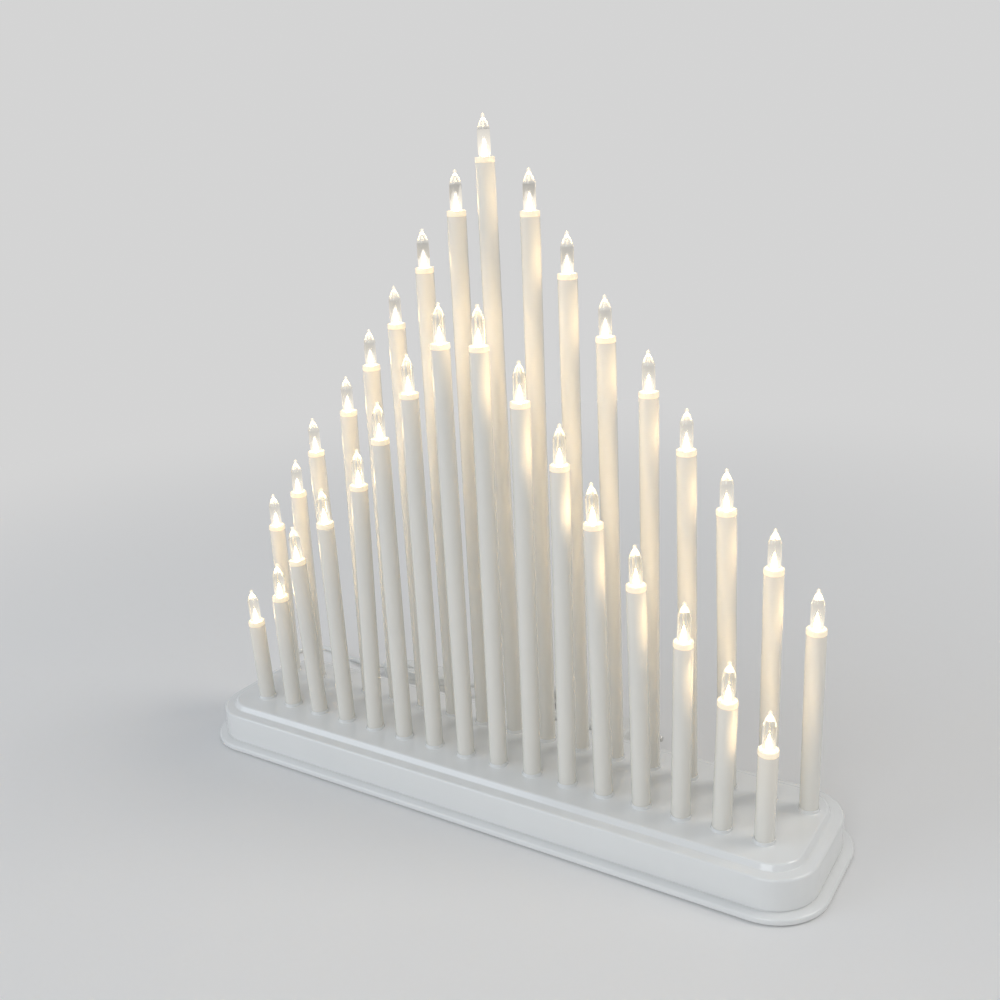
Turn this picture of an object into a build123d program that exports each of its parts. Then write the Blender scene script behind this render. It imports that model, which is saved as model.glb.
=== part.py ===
from build123d import *
import os
from math import atan2, cos, degrees, hypot, pi, radians, sin, sqrt, tan

# A white plastic candle bridge for a window sill: two rows of slim candle tubes stand on a long low base
# and rise to a peak in the middle. Each tube carries a lamp holder, an LED and a clear flame bulb.
# Lengths are in millimetres. The origin is on the floor below the middle of the base, X runs along
# the rows, Y points to the back and Z up.

os.makedirs("parts", exist_ok=True)

# Candle rows
row_margin = 18.0
row_offset = 19.0
back_count = 17
front_count = back_count - 1
back_lowest = 104.4
back_step = 29.2
front_lowest = 45.1
front_step = 28.5
# How far single tubes stand above or below their even step, as shares of it, from left to right.
back_seat_shares = [
    0.05, -0.04, -0.02, -0.02, 0, -0.11, 0, 0.06, 0, 0.04, -0.06, -0.16, -0.1, -0.09, -0.1, -0.07, -0.06,
]
front_seat_shares = [
    0.25, 0.03, 0.01, 0, -0.03, 0.01, 0, 0, 0, 0.02, -0.08, -0.1, -0.15, -0.07, -0.04, 0.19,
]
# Degrees that single tubes lean along the row in their loose sockets, from left to right.
back_leans = [0, 0, -1.3, 1.0, 0.4, 0, 0, 0.2, -0.3, 0.3, 0, -0.3, 0, -0.6, -1.0, 0, 0]
front_leans = [-2.4, -0.6, -3.0, -0.9, 1.5, 0, 0, 0, 0.4, 0.6, 0.5, -1.0, -0.8, 0.7, 1.7, 0.9]

# Candle tube
tube_foot_radius = 5.15
tube_top_radius = 5.3
tube_bore_radius = 4.2
candle_sides = 8
bore_sides = 6

# Lamp holder, a shallow cup on the tube's mouth
holder_radius = 5.4
holder_height = 3.0
holder_recess_radius = 3.9
holder_recess_depth = 0.8

# Clear flame bulb and the LED inside it
bulb_neck_radius = 2.4
bulb_foot_height = 1.9
bulb_radius = 3.5
bulb_exposed = 21.5
bulb_sides = 6
bulb_shoulder_share = 0.66
bulb_waist_share = 0.9
bulb_foot_radius_share = 0.95
bulb_waist_radius_share = 0.38
bulb_tip_radius_share = 0.2
bulb_bore_radius = 1.9
bulb_bore_depth = 11.0
led_radius = 1.5
led_height = 8.6
led_sides = 6

# Base housing
foot_stand = 0.8
base_height = 26.0
body_length = 404.0
body_depth = 91.8
body_corner = 26.0
body_draft = 1.0
flange_reach = 5.6
flange_thickness = 3.3
flange_bevel = 1.0
ledge_width = 6.9
ledge_drop = 3.3
ledge_bevel = 1.5
riser_slope = 30.0
plateau_bevel = 0.6
shell_wall = 2.2

# Socket ring round each tube's foot
socket_clearance = 0.2
socket_ring_width = 0.75
socket_ring_height = 2.6

# Base plate, the housing's posts that it meets, and the feet
plate_thickness = 2.4
plate_clearance = 0.3
boss_radius = 3.6
boss_edge = 12.5
boss_columns = 3
fitting_sides = 6
foot_radius = 6.5
foot_recess = 1.4
foot_edge = 17.0
foot_inset = 44.0
foot_sides = 12

# Driver board on posts of the base plate
board_length = 72.0
board_depth = 28.0
board_thickness = 1.6
board_x = -64.0
board_y = 4.0
post_height = 4.0
post_radius = 2.4
post_inset = 4.0
choke_length = 16.0
choke_depth = 13.0
choke_height = 9.0
capacitor_radius = 3.6
capacitor_height = 10.0
chip_length = 9.0
chip_depth = 6.0
chip_height = 2.0
terminal_length = 15.0
terminal_depth = 8.0
terminal_height = 8.5
terminal_way_radius = 1.3
terminal_way_depth = 5.0

# Cord and the tapered bush that it leaves the base through
cord_diameter = 3.5
exit_x = -58.0
exit_z = 11.5
bush_length = 20.5
bush_sides = 8
bush_steps = 5
bush_root_radius = 4.0
bush_tip_radius = 2.5
bush_neck_radius = 3.3
bush_flange_radius = 4.8
bush_flange_thickness = 1.4
bush_fit = 0.05
bush_seat = 0.12

# In-line rocker switch on the cord
switch_x = -124.0
switch_y = 85.0
switch_turn = 2.0
switch_length = 58.0
switch_width = 17.0
switch_height = 12.5
switch_corner = 7.5
switch_bevel = 1.4
switch_wall = 1.5
switch_split_share = 0.46
rocker_length = 14.0
rocker_width = 8.0
rocker_tilt = 9.0
rocker_pivot_depth = 2.6
rocker_rise = 0.4
rocker_body_depth = 3.4
rocker_gap = 0.35
axle_radius = 1.0
axle_length = 1.2
axle_clearance = 0.12
axle_sides = 12
cheek_thickness = 1.6
cheek_drop = 2.2
contact_length = 11.0
contact_width = 3.0
contact_thickness = 0.6
contact_spacing = 6.0
switch_post_inset = 8.0
switch_post_radius = 2.2

# Put-away coil
coil_x = -20.0
coil_y = 84.6
coil_inner_radius = 15.0
coil_turn_pitch = 4.8
coil_layer_rise = 4.4
coil_in_half_turns = 5
coil_out_half_turns = 4
tie_thickness = 0.8
tie_width = 4.0
tie_clearance = 0.35

# Two-pin plug, flat on the floor
plug_x = 17.0
plug_y = 71.0
plug_length = 36.0
plug_width = 33.0
plug_neck_width = 12.0
plug_height = 13.6
plug_bevel = 2.0
plug_neck_share = 0.3
plug_shoulder_share = 0.72
pin_radius = 2.0
pin_length = 19.0
pin_root = 8.0
pin_spacing = 18.6
pin_fit = 0.05
pin_sides = 8

# Places, heights and outlines that follow from the sizes above
candle_pitch = (body_length - 2 * row_margin) / (back_count - 1)
plate_top = foot_stand + plate_thickness
ledge_height = base_height - ledge_drop
plateau_length = body_length - 2 * ledge_width
plateau_depth = body_depth - 2 * ledge_width
plateau_corner = body_corner - ledge_width / 2
roof_underside = base_height - shell_wall
shell_length = body_length - 2 * shell_wall
shell_depth = body_depth - 2 * shell_wall
shell_corner = body_corner - shell_wall
flange_top = foot_stand + flange_thickness
wall_outside = body_depth / 2 - tan(radians(body_draft)) * (exit_z - flange_top)
wall_inside = shell_depth / 2
floor_line = cord_diameter / 2
# The cord's tubes are square, with the round cord's own section area, and lie flat.
cord_flat = cord_diameter * sqrt(pi) / 4


def save(piece, name):
    """Writes one finished sub-part under its own name."""
    piece.part.label = name
    export_step(piece.part, f"parts/{name}.step")


def candle_plane(x, y, lean):
    """The plane of a tube's foot on the plateau, tipped along the row by the tube's lean."""
    tip = radians(lean)
    return Plane(origin=(x, y, base_height), x_dir=(cos(tip), 0, -sin(tip)), z_dir=(sin(tip), 0, cos(tip)))


def row(count, y, lowest, step, seat_shares, leans):
    """The foot plane and tube height of each candle in a row, tallest in the middle."""
    middle = (count - 1) / 2
    rise = [min(i, count - 1 - i) for i in range(count)]
    planes = [candle_plane((i - middle) * candle_pitch, y, leans[i]) for i in range(count)]
    heights = [lowest + step * (rise[i] + seat_shares[i]) for i in range(count)]
    return list(zip(planes, heights))


back_row = row(back_count, row_offset, back_lowest, back_step, back_seat_shares, back_leans)
front_row = row(front_count, -row_offset, front_lowest, front_step, front_seat_shares, front_leans)
rows = {"back": back_row, "front": front_row}

# Candle tubes: moulded with a slight draft, open at both ends, each pushed through its socket
for side, candles in rows.items():
    for i, (foot, height) in enumerate(candles):
        with BuildPart() as tube:
            with BuildSketch(foot.offset(-shell_wall)):
                RegularPolygon(tube_foot_radius, candle_sides)
            with BuildSketch(foot.offset(height)):
                RegularPolygon(tube_top_radius, candle_sides)
            loft(ruled=True)
            with BuildSketch(foot.offset(-shell_wall)):
                RegularPolygon(tube_bore_radius, bore_sides)
            extrude(amount=height + shell_wall, mode=Mode.SUBTRACT)
        save(tube, f"candle_tube_{side}_{i + 1:02d}")

# One lamp holder, standing on the ground plane
with BuildPart() as holder:
    with BuildSketch():
        RegularPolygon(holder_radius, candle_sides)
    extrude(amount=holder_height)
    with BuildSketch(Plane.XY.offset(holder_height)):
        RegularPolygon(holder_recess_radius, bore_sides)
    extrude(amount=-holder_recess_depth, mode=Mode.SUBTRACT)


def tapered_stage(base, near, far, sides):
    """One straight-sided stage of a turned form, between two (distance, radius) pairs along the normal."""
    near_distance, near_radius = near
    far_distance, far_radius = far
    drawn_in = (near_radius - far_radius) * cos(pi / sides)
    reach = far_distance - near_distance
    with BuildSketch(base.offset(near_distance), mode=Mode.PRIVATE) as end:
        RegularPolygon(near_radius, sides)
    extrude(end.sketch, amount=reach, taper=degrees(atan2(drawn_in, reach)))


# One flame bulb from its neck on the ground plane up, with the bore that the LED stands in
bulb_height = bulb_exposed + holder_recess_depth
bulb_stages = [
    (0, bulb_neck_radius),
    (bulb_foot_height, bulb_radius * bulb_foot_radius_share),
    (bulb_height * bulb_shoulder_share, bulb_radius),
    (bulb_height * bulb_waist_share, bulb_radius * bulb_waist_radius_share),
    (bulb_height, bulb_radius * bulb_tip_radius_share),
]
with BuildPart() as bulb:
    for lower, upper in zip(bulb_stages, bulb_stages[1:]):
        tapered_stage(Plane.XY, lower, upper, bulb_sides)
    with BuildSketch():
        RegularPolygon(bulb_bore_radius, led_sides)
    extrude(amount=bulb_bore_depth, mode=Mode.SUBTRACT)

# One LED, standing in the bulb's bore
with BuildPart() as led:
    with BuildSketch():
        RegularPolygon(led_radius, led_sides)
    extrude(amount=led_height)

# The holders, bulbs and LEDs of each row, a group of separate pieces each
recess_floor = holder_height - holder_recess_depth
lamp_pieces = {"lamp_holders": (holder, 0), "flame_bulbs": (bulb, recess_floor), "leds": (led, recess_floor)}
for side, candles in rows.items():
    for name, (piece, lift) in lamp_pieces.items():
        with BuildPart() as group:
            with Locations(*[foot.offset(height + lift).location for foot, height in candles]):
                add(piece.part)
        save(group, f"{name}_{side}")

# Base housing: a flanged tray turned upside down, with a stepped top and a socket for each tube
candle_spots = [(foot.origin.X, foot.origin.Y) for candles in rows.values() for foot, height in candles]
socket_radius = tube_foot_radius + socket_clearance
ring_radius = socket_radius + socket_ring_width
boss_grid = GridLocations((body_length - 2 * boss_edge - body_corner) / (boss_columns - 1),
                          body_depth - 2 * boss_edge, boss_columns, 2)
boss_spots = [(spot.position.X, spot.position.Y) for spot in boss_grid]


def rounded_block(length, depth, corner, bottom, top, draft=0, mode=Mode.ADD):
    """A block with round upright corners whose walls lean in by the draft."""
    with BuildSketch(Plane.XY.offset(bottom), mode=Mode.PRIVATE) as outline:
        RectangleRounded(length, depth, corner)
    extrude(outline.sketch, amount=top - bottom, taper=draft, mode=mode)


with BuildPart() as housing:
    flange_length = body_length + 2 * flange_reach
    flange_depth = body_depth + 2 * flange_reach
    rounded_block(flange_length, flange_depth, body_corner + flange_reach, foot_stand, flange_top)
    chamfer(housing.edges().group_by(Axis.Z)[-1], flange_bevel)
    rounded_block(body_length, body_depth, body_corner, flange_top, ledge_height, body_draft)
    chamfer(housing.edges().group_by(Axis.Z)[-1], ledge_bevel)
    rounded_block(plateau_length, plateau_depth, plateau_corner, ledge_height, base_height, riser_slope)
    chamfer(housing.edges().group_by(Axis.Z)[-1], plateau_bevel)
    with BuildSketch(Plane.XY.offset(base_height)):
        with Locations(*candle_spots):
            RegularPolygon(ring_radius, candle_sides)
    extrude(amount=socket_ring_height)
    ledge_underside = ledge_height - shell_wall
    rounded_block(shell_length, shell_depth, shell_corner, foot_stand, ledge_underside, 0, Mode.SUBTRACT)
    hollow_length = plateau_length - 2 * shell_wall
    hollow_depth = plateau_depth - 2 * shell_wall
    hollow_corner = plateau_corner - shell_wall
    rounded_block(hollow_length, hollow_depth, hollow_corner, foot_stand, roof_underside, 0, Mode.SUBTRACT)
    with BuildSketch(Plane.XY.offset(plate_top)):
        with Locations(*boss_spots):
            RegularPolygon(boss_radius, fitting_sides)
    extrude(amount=roof_underside - plate_top)
    with BuildSketch(Plane.XY.offset(base_height + socket_ring_height)):
        with Locations(*candle_spots):
            RegularPolygon(socket_radius, candle_sides)
    extrude(amount=-(socket_ring_height + shell_wall), mode=Mode.SUBTRACT)
    with BuildSketch(Plane.XZ.offset(-body_depth / 2)):
        with Locations((exit_x, exit_z)):
            RegularPolygon(bush_neck_radius + bush_fit, bush_sides)
    extrude(amount=2 * shell_wall, mode=Mode.SUBTRACT)
save(housing, "base_housing")

# Base plate, which closes the housing from below and meets its posts
feet_x = body_length / 2 - foot_inset
feet_y = body_depth / 2 - foot_edge
post_spots = [
    (board_x + sx * (board_length / 2 - post_inset), board_y + sy * (board_depth / 2 - post_inset))
    for sx in (-1, 1)
    for sy in (-1, 1)
]
with BuildPart() as plate:
    plate_length = shell_length - 2 * plate_clearance
    plate_depth = shell_depth - 2 * plate_clearance
    rounded_block(plate_length, plate_depth, shell_corner - plate_clearance, foot_stand, plate_top)
    with BuildSketch(Plane.XY.offset(plate_top)):
        with Locations(*post_spots):
            RegularPolygon(post_radius, fitting_sides)
    extrude(amount=post_height)
    with BuildSketch(Plane.XY.offset(foot_stand)):
        with GridLocations(2 * feet_x, 2 * feet_y, 2, 2):
            RegularPolygon(foot_radius, foot_sides)
    extrude(amount=foot_recess, mode=Mode.SUBTRACT)
save(plate, "base_plate")

with BuildPart() as feet:
    with BuildSketch():
        with GridLocations(2 * feet_x, 2 * feet_y, 2, 2):
            RegularPolygon(foot_radius, foot_sides)
    extrude(amount=foot_stand + foot_recess)
save(feet, "rubber_feet")

# Driver board with its parts, and the terminal block for the cord
board_bottom = plate_top + post_height
board_top = board_bottom + board_thickness
with BuildPart() as board:
    with BuildSketch(Plane.XY.offset(board_bottom)):
        with Locations((board_x, board_y)):
            Rectangle(board_length, board_depth)
    extrude(amount=board_thickness)
save(board, "driver_board")

with BuildPart() as board_parts:
    with BuildSketch(Plane.XY.offset(board_top)):
        with Locations((board_x - board_length / 4, board_y)):
            Rectangle(choke_length, choke_depth)
    extrude(amount=choke_height)
    with BuildSketch(Plane.XY.offset(board_top)):
        with Locations((board_x, board_y - capacitor_radius)):
            RegularPolygon(capacitor_radius, foot_sides)
    extrude(amount=capacitor_height)
    with BuildSketch(Plane.XY.offset(board_top)):
        with Locations((board_x + board_length / 4, board_y - chip_depth)):
            Rectangle(chip_length, chip_depth)
    extrude(amount=chip_height)
save(board_parts, "driver_components")

terminal_y = board_y + board_depth / 2 - terminal_depth / 2
with BuildPart() as terminal:
    with BuildSketch(Plane.XY.offset(board_top)):
        with Locations((board_x + board_length / 8, terminal_y)):
            Rectangle(terminal_length, terminal_depth)
    extrude(amount=terminal_height)
    with BuildSketch(Plane.XZ.offset(-(terminal_y + terminal_depth / 2))):
        with Locations((board_x + board_length / 8, board_top + terminal_height / 2)):
            with GridLocations(terminal_length / 2, 0, 2, 1):
                RegularPolygon(terminal_way_radius, fitting_sides)
    extrude(amount=terminal_way_depth, mode=Mode.SUBTRACT)
save(terminal, "terminal_block")

# Bush in the back wall: a neck held by two shoulders, and a long sleeve that steps down to the cord
bush_tip = wall_outside + bush_length
sleeve_start = wall_outside + bush_seat + bush_flange_thickness
sleeve_step = (bush_tip - sleeve_start) / bush_steps
radius_step = (bush_root_radius - bush_tip_radius) / (bush_steps - 1)
bush_stages = [
    (wall_inside - bush_seat - bush_flange_thickness, bush_flange_thickness, bush_flange_radius),
    (wall_inside - bush_seat, wall_outside - wall_inside + 2 * bush_seat, bush_neck_radius),
    (wall_outside + bush_seat, bush_flange_thickness, bush_flange_radius),
]
for i in range(bush_steps):
    bush_stages.append((sleeve_start + i * sleeve_step, sleeve_step, bush_root_radius - i * radius_step))
bush_plane = Plane(origin=(exit_x, 0, exit_z), x_dir=(-1, 0, 0), z_dir=(0, 1, 0))
with BuildPart() as bush:
    for start, reach, radius in bush_stages:
        with BuildSketch(bush_plane.offset(start)):
            RegularPolygon(radius, bush_sides)
        extrude(amount=reach)
save(bush, "cord_bush")

# In-line switch: two shells on inner posts, the rocker between cheeks of the upper one, and contacts
turn = radians(switch_turn)
along = Vector(cos(turn), sin(turn), 0)
across = Vector(-sin(turn), cos(turn), 0)
switch_centre = Vector(switch_x, switch_y, 0)
switch_plane = Plane(origin=switch_centre, x_dir=along, z_dir=(0, 0, 1))
switch_split = switch_height * switch_split_share
cord_entry = switch_height / 2
pivot_height = switch_height - rocker_pivot_depth
window_length = rocker_length + 2 * rocker_gap
window_width = rocker_width + 2 * rocker_gap
switch_posts = [(sx * (switch_length / 2 - switch_post_inset), 0) for sx in (-1, 1)]

# Each round corner is cut in two steps, which leaves three flats along the arc.
first_cut_share = 2 - sqrt(2)
second_cut_share = tan(pi / 8) - tan(pi / 16)


def switch_outline(inset):
    """The switch's outline, drawn in on all sides."""
    corner = switch_corner - inset
    Rectangle(switch_length - 2 * inset, switch_width - 2 * inset)
    chamfer(vertices(), corner * first_cut_share)
    chamfer(vertices(), corner * second_cut_share)


with BuildPart() as switch_lower:
    with BuildSketch(switch_plane):
        switch_outline(0)
    extrude(amount=switch_split)
    chamfer(switch_lower.edges().group_by(Axis.Z)[0], switch_bevel)
    with BuildSketch(switch_plane.offset(switch_wall)):
        switch_outline(switch_wall)
    extrude(amount=switch_split, mode=Mode.SUBTRACT)
    with BuildSketch(switch_plane.offset(switch_wall)):
        with Locations(*switch_posts):
            RegularPolygon(switch_post_radius, fitting_sides)
    extrude(amount=switch_split - switch_wall)
save(switch_lower, "switch_lower_shell")

with BuildPart() as switch_upper:
    with BuildSketch(switch_plane.offset(switch_split)):
        switch_outline(0)
    extrude(amount=switch_height - switch_split)
    chamfer(switch_upper.edges().group_by(Axis.Z)[-1], switch_bevel)
    with BuildSketch(switch_plane.offset(switch_split)):
        switch_outline(switch_wall)
    extrude(amount=switch_height - switch_split - switch_wall, mode=Mode.SUBTRACT)
    with BuildSketch(switch_plane.offset(switch_height)):
        Rectangle(window_length, window_width)
    extrude(amount=-switch_wall, mode=Mode.SUBTRACT)
    with BuildSketch(switch_plane.offset(switch_height - switch_wall)):
        cheek_place = window_width + cheek_thickness
        with GridLocations(0, cheek_place, 1, 2):
            Rectangle(rocker_body_depth + cheek_drop, cheek_thickness)
    extrude(amount=-(rocker_pivot_depth - switch_wall + cheek_drop))
    with BuildSketch(switch_plane.offset(switch_split)):
        with Locations(*switch_posts):
            RegularPolygon(switch_post_radius, fitting_sides)
    extrude(amount=switch_height - switch_split - switch_wall)
    axle_plane = Plane(origin=switch_centre + Vector(0, 0, pivot_height), x_dir=along, z_dir=-across)
    with BuildSketch(axle_plane):
        RegularPolygon(axle_radius + axle_clearance, axle_sides)
    extrude(amount=window_width / 2 + cheek_thickness, both=True, mode=Mode.SUBTRACT)
save(switch_upper, "switch_upper_shell")

# Rocker: a shallow V on top, round ends about its pivot, and a stub axle on each side
tilt = radians(rocker_tilt)
end_reach = rocker_length / 2
with BuildPart() as rocker:
    top_middle = rocker_pivot_depth + rocker_rise
    end_rise = top_middle + end_reach * tan(tilt)
    end_radius = hypot(end_reach, rocker_body_depth / 2)
    with BuildSketch(axle_plane):
        with BuildLine(mode=Mode.PRIVATE) as outline:
            Polyline(
                (-end_reach, -rocker_body_depth / 2),
                (end_reach, -rocker_body_depth / 2),
                (end_reach, end_rise),
                (0, top_middle),
                (-end_reach, end_rise),
                close=True,
            )
        make_face(outline.edges())
        Circle(end_radius, mode=Mode.INTERSECT)
    extrude(amount=rocker_width / 2, both=True)
    with BuildSketch(axle_plane):
        RegularPolygon(axle_radius, axle_sides)
    extrude(amount=rocker_width / 2 + rocker_gap + axle_length, both=True)
rocker_axis = Axis(origin=axle_plane.origin, direction=axle_plane.z_dir)
rocker_on = rocker.part.rotate(rocker_axis, rocker_tilt)
rocker_on.label = "switch_rocker"
export_step(rocker_on, "parts/switch_rocker.step")

with BuildPart() as contacts:
    with BuildSketch(switch_plane.offset(switch_wall)):
        with GridLocations(0, contact_spacing, 1, 2):
            Rectangle(contact_length, contact_width)
    extrude(amount=contact_thickness)
save(contacts, "switch_contacts")

# Share of the shorter run beside a bend that the bend may take
run_share = 0.45


def cord_radii(points):
    """The bend radius at each inner point of a route, as large as the runs beside it allow."""
    radii = []
    for before, corner, after in zip(points, points[1:], points[2:]):
        run_in = Vector(*corner) - Vector(*before)
        run_out = Vector(*after) - Vector(*corner)
        shorter = min(run_in.length, run_out.length)
        radii.append(run_share * shorter / tan(radians(run_in.get_angle(run_out)) / 2))
    return radii


def cord_stretch(name, points):
    """A free stretch of cord along its route, and its length along the middle."""
    radii = cord_radii(points)
    with BuildPart() as stretch:
        with BuildLine() as route:
            FilletPolyline(*points, radius=radii)
        middle = route.wire()
        heading = middle % 0
        with BuildSketch(Plane(origin=middle @ 0, x_dir=heading.cross(Vector(0, 0, 1)), z_dir=heading)):
            Rectangle(2 * cord_flat, 2 * cord_flat)
        sweep(path=middle)
    length = middle.length
    section = (2 * cord_flat) ** 2
    print(name, "radii", [round(r, 1) for r in radii], "length", round(length, 1),
          "volume over section times length", round(stretch.part.volume / (section * length), 4))
    save(stretch, name)
    return length


# Cord from the bush to the switch: it leaves the wall square and swings left in the air
switch_right = switch_centre + along * (switch_length / 2)
switch_left = switch_centre - along * (switch_length / 2)
lead_in = 10.8
to_switch = [
    (exit_x, bush_tip, exit_z),
    (exit_x, 71.9, exit_z),
    (-59.8, 77.2, 10.9),
    (-63.2, 81.7, 10.0),
    (-67.9, 85.0, 8.9),
    (-73.2, 86.7, 7.7),
    (switch_right.X + lead_in * along.X, switch_right.Y + lead_in * along.Y, cord_entry),
    (switch_right.X, switch_right.Y, cord_entry),
]
cord_length = cord_stretch("cord_to_switch", to_switch)

# Cord on from the switch: it sinks to the floor, runs left, turns back behind the base and on to the coil
coil_floor = tie_thickness + tie_clearance + cord_diameter / 2
half_step = coil_turn_pitch / 2
coil_start_radius = coil_inner_radius + coil_in_half_turns * half_step
coil_end_radius = coil_inner_radius + coil_out_half_turns * half_step
coil_start_y = coil_y - coil_start_radius
coil_end_y = coil_y - coil_end_radius
coil_top = coil_floor + coil_layer_rise
to_coil = [
    (switch_left.X, switch_left.Y, cord_entry),
    (switch_left.X - lead_in * along.X, switch_left.Y - lead_in * along.Y, cord_entry),
    (-175.0, 86.2, 3.6),
    (-187.5, 89.5, floor_line),
    (-201.6, 92.8, floor_line),
    (-216.6, 95.3, floor_line),
    (-232.4, 97.3, floor_line),
    (-245.4, 86.5, floor_line),
    (-246.4, 69.6, floor_line),
    (-234.8, 57.3, floor_line),
    (-206.0, 57.6, floor_line),
    (-158.0, 57.0, floor_line),
    (-108.0, 58.4, floor_line),
    (-66.0, 57.2, floor_line),
    (-46.0, coil_start_y + half_step / 6, coil_floor),
    (coil_x - cord_diameter - lead_in, coil_start_y, coil_floor),
    (coil_x - cord_diameter, coil_start_y, coil_floor),
]
cord_length += cord_stretch("cord_to_coil", to_coil)


def coil_point(step, radius, height):
    """A point of the coil at one of its half-turn ends, which lie in front of and behind its middle."""
    side = -1 if step % 2 == 0 else 1
    return Vector(coil_x, coil_y + side * radius, height)


# Coil: half circles that wind in on the floor, a tilted one that climbs, and half circles out on top
half_turns = coil_in_half_turns + 1 + coil_out_half_turns
coil_radii = [coil_start_radius - half_step * i for i in range(coil_in_half_turns + 1)]
coil_radii += [coil_inner_radius + half_step * i for i in range(coil_out_half_turns + 1)]
coil_heights = [coil_floor] * (coil_in_half_turns + 1) + [coil_top] * (coil_out_half_turns + 1)
coil_ends = [coil_point(i, coil_radii[i], coil_heights[i]) for i in range(half_turns + 1)]
with BuildPart() as coil:
    with BuildLine() as winding:
        Line(coil_ends[0] - Vector(cord_diameter, 0, 0), coil_ends[0])
        for i in range(half_turns):
            centre = (coil_ends[i] + coil_ends[i + 1]) / 2
            reach = (coil_ends[i + 1] - coil_ends[i]).length / 2
            bulge = 1 if i % 2 == 0 else -1
            ThreePointArc(coil_ends[i], centre + Vector(bulge * reach, 0, 0), coil_ends[i + 1])
        Line(coil_ends[-1], coil_ends[-1] + Vector(cord_diameter, 0, 0))
    coil_middle = winding.wire()
    with BuildSketch(Plane(origin=coil_middle @ 0, x_dir=(0, -1, 0), z_dir=(1, 0, 0))):
        Rectangle(2 * cord_flat, 2 * cord_flat)
    sweep(path=coil_middle)
save(coil, "cord_coil")
coil_length = coil_middle.length
cord_length += coil_length

# The coil's least gap to itself, measured between points a step apart along it
point_step = 1.0
point_count = int(coil_length / point_step)
coil_points = [coil_middle @ (i / point_count) for i in range(point_count + 1)]
apart = int(pi * coil_inner_radius / point_step)
gaps = [(coil_points[i] - other).length for i in range(point_count + 1) for other in coil_points[i + apart:]]
least = min(gaps)
print("coil length", round(coil_length, 1), "least gap to itself", round(least - cord_diameter, 2))

# Tie: a flat band round all the turns at the back of the coil
behind = [coil_radii[i] for i in range(1, half_turns + 1, 2)]
tie_in = min(behind) - cord_diameter / 2 - tie_clearance
tie_out = max(behind) + cord_diameter / 2 + tie_clearance
tie_low = coil_floor - cord_diameter / 2 - tie_clearance
tie_high = coil_top + cord_diameter / 2 + tie_clearance
tie_plane = Plane(origin=(coil_x - tie_width / 2, coil_y, 0), x_dir=(0, 1, 0), z_dir=(1, 0, 0))
with BuildPart() as tie:
    with BuildSketch(tie_plane):
        with Locations(((tie_in + tie_out) / 2, (tie_low + tie_high) / 2)):
            Rectangle(tie_out - tie_in + 2 * tie_thickness, tie_high - tie_low + 2 * tie_thickness)
            chamfer(vertices(), tie_thickness)
            Rectangle(tie_out - tie_in, tie_high - tie_low, mode=Mode.SUBTRACT)
    extrude(amount=tie_width)
save(tie, "coil_tie")

# Cord from the top of the coil to the plug
plug_entry = plug_height / 2
to_plug = [
    (coil_x + cord_diameter, coil_end_y, coil_top),
    (-10.5, coil_end_y, coil_top),
    (-4.3, 62.1, coil_top),
    (4.3, 68.9, plug_entry),
    (10.4, plug_y, plug_entry),
    (plug_x, plug_y, plug_entry),
]
cord_length += cord_stretch("cord_to_plug", to_plug)
print("cord length in all", round(cord_length, 1))

# Flat two-pin plug, wide at the pins and narrow at the cord
plug_outline = [
    (0, plug_neck_width / 2),
    (plug_length * plug_neck_share, plug_neck_width / 2),
    (plug_length * plug_shoulder_share, plug_width / 2),
    (plug_length, plug_width / 2),
]
plug_plane = Plane(origin=(plug_x, plug_y, 0), x_dir=(1, 0, 0), z_dir=(0, 0, 1))
pin_face = Plane(origin=(plug_x + plug_length, plug_y, plug_entry), x_dir=(0, 1, 0), z_dir=(1, 0, 0))
with BuildPart() as plug:
    with BuildSketch(plug_plane):
        with BuildLine():
            Polyline(*plug_outline, *[(x, -y) for x, y in reversed(plug_outline)], close=True)
        make_face()
    extrude(amount=plug_height)
    chamfer(plug.edges().filter_by(Axis.Z).group_by(Axis.X)[-1], plug_bevel)
    chamfer(plug.edges().group_by(Axis.Z)[-1] + plug.edges().group_by(Axis.Z)[0], plug_bevel)
    with BuildSketch(pin_face):
        with GridLocations(pin_spacing, 0, 2, 1):
            RegularPolygon(pin_radius + pin_fit, pin_sides)
    extrude(amount=-pin_root, mode=Mode.SUBTRACT)
save(plug, "plug_body")

with BuildPart() as pins:
    with BuildSketch(pin_face.offset(-pin_root)):
        with GridLocations(pin_spacing, 0, 2, 1):
            RegularPolygon(pin_radius, pin_sides)
    extrude(amount=pin_root + pin_length)
    chamfer(pins.edges().group_by(Axis.X)[-1], pin_radius / 2)
save(pins, "plug_pins")
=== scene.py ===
import math

import bmesh
import bpy
from mathutils import Matrix, Vector


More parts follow.
